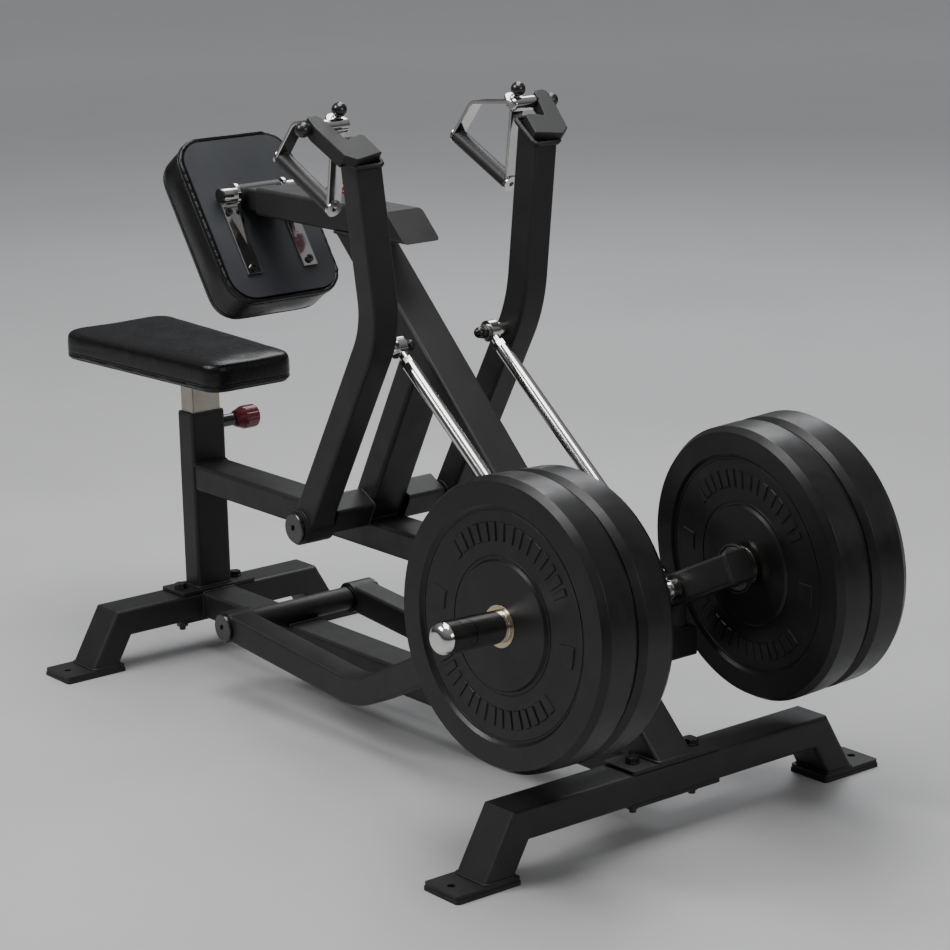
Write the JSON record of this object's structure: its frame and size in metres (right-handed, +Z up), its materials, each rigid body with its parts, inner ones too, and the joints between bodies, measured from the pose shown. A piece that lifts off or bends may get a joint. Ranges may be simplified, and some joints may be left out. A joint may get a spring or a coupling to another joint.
{
  "type": "plate-loaded seated row machine",
  "caption": "Plate-loaded seated row machine with independent lever arms, link rods, weight arms on both sides, chest pad and adjustable seat.",
  "frame": {"origin": "on the floor, below the middle of the overall box", "axes": "+X from the seat to the weight plates, +Y the user's left, +Z up"},
  "size_m": [1.8188, 0.9026, 1.1147],
  "materials": {
    "powder_coat": "satin",
    "chrome": "polished",
    "nickel": "satin",
    "zinc": "satin",
    "black_oxide": "black oxide, semi-gloss",
    "ground_steel": "ground",
    "vinyl": "soft sheen",
    "board": "matte",
    "plate_rubber": "matte",
    "foot_rubber": "matte",
    "grip_rubber": "matte",
    "black_plastic": "gloss",
    "liner_plastic": "matte",
    "maroon_plastic": "gloss",
    "brass_insert": "turned"
  },
  "bodies": {
    "frame": {"rear_stabilizer": "powder_coat", "front_stabilizer": "powder_coat", "foot_pads": "foot_rubber", "base_beam": "powder_coat", "base_plates": "powder_coat", "base_bolts": "black_oxide", "seat_post": "powder_coat", "spine": "powder_coat", "main_rail": "powder_coat", "rear_brace": "powder_coat", "boom": "powder_coat", "outriggers": "powder_coat", "pivot_shafts": "ground_steel", "pivot_sleeves": "black_plastic", "pivot_caps": "black_plastic", "carriage_pivot_tube": "powder_coat", "stop_bars": "powder_coat", "stop_bumpers": "foot_rubber", "tube_liners": "liner_plastic", "pin_barrels": "black_plastic"},
    "seat": {"seat_carrier": "nickel", "seat_board": "board", "seat_cushion": "vinyl"},
    "seat_pin": {"seat_pull_pin": "maroon_plastic"},
    "boom_pin": {"boom_pull_pin": "maroon_plastic"},
    "pad_slide": {"pad_slide_tube": "powder_coat"},
    "chest": {"pad_hinge_tube": "chrome", "hinge_end_caps": "black_plastic", "pad_brackets": "chrome", "pad_screws": "black_oxide", "chest_pad_board": "board", "chest_pad": "vinyl"},
    "right_arm": {"right_lever_arm": "powder_coat", "right_rod_top_bolt": "zinc", "right_swivel_bolt": "black_oxide"},
    "right_handle": {"right_handle_frame": "chrome", "right_handle_grip": "grip_rubber", "right_handle_ball": "black_plastic"},
    "right_link": {"right_link_rod": "chrome", "right_rod_ends": "chrome", "right_rod_bottom_bolt": "zinc"},
    "right_carriage": {"right_carriage_arm": "powder_coat", "right_weight_horn": "chrome"},
    "right_plates": {"right_inner_plate": "plate_rubber", "right_outer_plate": "plate_rubber", "right_plate_rings": "brass_insert"},
    "left_arm": {"left_lever_arm": "powder_coat", "left_rod_top_bolt": "zinc", "left_swivel_bolt": "black_oxide"},
    "left_handle": {"left_handle_frame": "chrome", "left_handle_grip": "grip_rubber", "left_handle_ball": "black_plastic"},
    "left_link": {"left_link_rod": "chrome", "left_rod_ends": "chrome", "left_rod_bottom_bolt": "zinc"},
    "left_carriage": {"left_carriage_arm": "powder_coat", "left_weight_horn": "chrome"},
    "left_plates": {"left_inner_plate": "plate_rubber", "left_outer_plate": "plate_rubber", "left_plate_rings": "brass_insert"}
  },
  "joints": [
    {"name": "right_carriage_lift", "type": "hinge", "parent": "frame", "child": "right_carriage", "pos_m": [-0.3049, -0.137, 0.133], "axis": [0, -1, 0], "range_deg": [0, 18.5]},
    {"name": "right_arm_pull", "type": "hinge", "parent": "frame", "child": "right_arm", "pos_m": [-0.0389, -0.152, 0.376], "axis": [0, -1, 0], "range_deg": [0, 35.82]},
    {"name": "right_rod_swing", "type": "hinge", "parent": "right_arm", "child": "right_link", "pos_m": [0.1487, -0.098, 0.7056], "axis": [0, -1, 0], "range_deg": [-11, 0]},
    {"name": "right_handle_swivel", "type": "hinge", "parent": "right_arm", "child": "right_handle", "pos_m": [0.1261, -0.185, 1.077], "axis": [0, 1, 0], "range_deg": [-8, 40]},
    {"name": "right_plates_off", "type": "slide", "parent": "right_carriage", "child": "right_plates", "axis": [0.0557, -0.9968, 0.0576], "range_m": [0, 0.12]},
    {"name": "left_carriage_lift", "type": "hinge", "parent": "frame", "child": "left_carriage", "pos_m": [-0.3049, 0.137, 0.133], "axis": [0, -1, 0], "range_deg": [0, 18.5]},
    {"name": "left_arm_pull", "type": "hinge", "parent": "frame", "child": "left_arm", "pos_m": [-0.0389, 0.152, 0.376], "axis": [0, -1, 0], "range_deg": [0, 35.82]},
    {"name": "left_rod_swing", "type": "hinge", "parent": "left_arm", "child": "left_link", "pos_m": [0.1487, 0.098, 0.7056], "axis": [0, -1, 0], "range_deg": [-11, 0]},
    {"name": "left_handle_swivel", "type": "hinge", "parent": "left_arm", "child": "left_handle", "pos_m": [0.1261, 0.185, 1.077], "axis": [0, 1, 0], "range_deg": [-8, 40]},
    {"name": "left_plates_off", "type": "slide", "parent": "left_carriage", "child": "left_plates", "axis": [0.0557, 0.9968, 0.0576], "range_m": [0, 0.12]},
    {"name": "seat_height", "type": "slide", "parent": "frame", "child": "seat", "axis": [0, 0, 1], "range_m": [-0.06, 0.05]},
    {"name": "seat_pin_pull", "type": "slide", "parent": "frame", "child": "seat_pin", "axis": [0, 1, 0], "range_m": [0, 0.012], "stiffness_N_per_m": 900},
    {"name": "pad_reach", "type": "slide", "parent": "frame", "child": "pad_slide", "axis": [-1, 0, 0], "range_m": [-0.025, 0.1]},
    {"name": "boom_pin_pull", "type": "slide", "parent": "frame", "child": "boom_pin", "axis": [0, 1, 0], "range_m": [0, 0.012], "stiffness_N_per_m": 900},
    {"name": "pad_tilt", "type": "hinge", "parent": "pad_slide", "child": "chest", "pos_m": [-0.3869, 0, 0.896], "axis": [0, 1, 0], "range_deg": [-6, 6]}
  ],
  "couplings": [
    {"joint": "right_arm_pull", "follows": "right_carriage_lift", "ratio": 1.9202},
    {"joint": "right_rod_swing", "follows": "right_carriage_lift", "ratio": -0.5785},
    {"joint": "left_arm_pull", "follows": "left_carriage_lift", "ratio": 1.9202},
    {"joint": "left_rod_swing", "follows": "left_carriage_lift", "ratio": -0.5785}
  ]
}
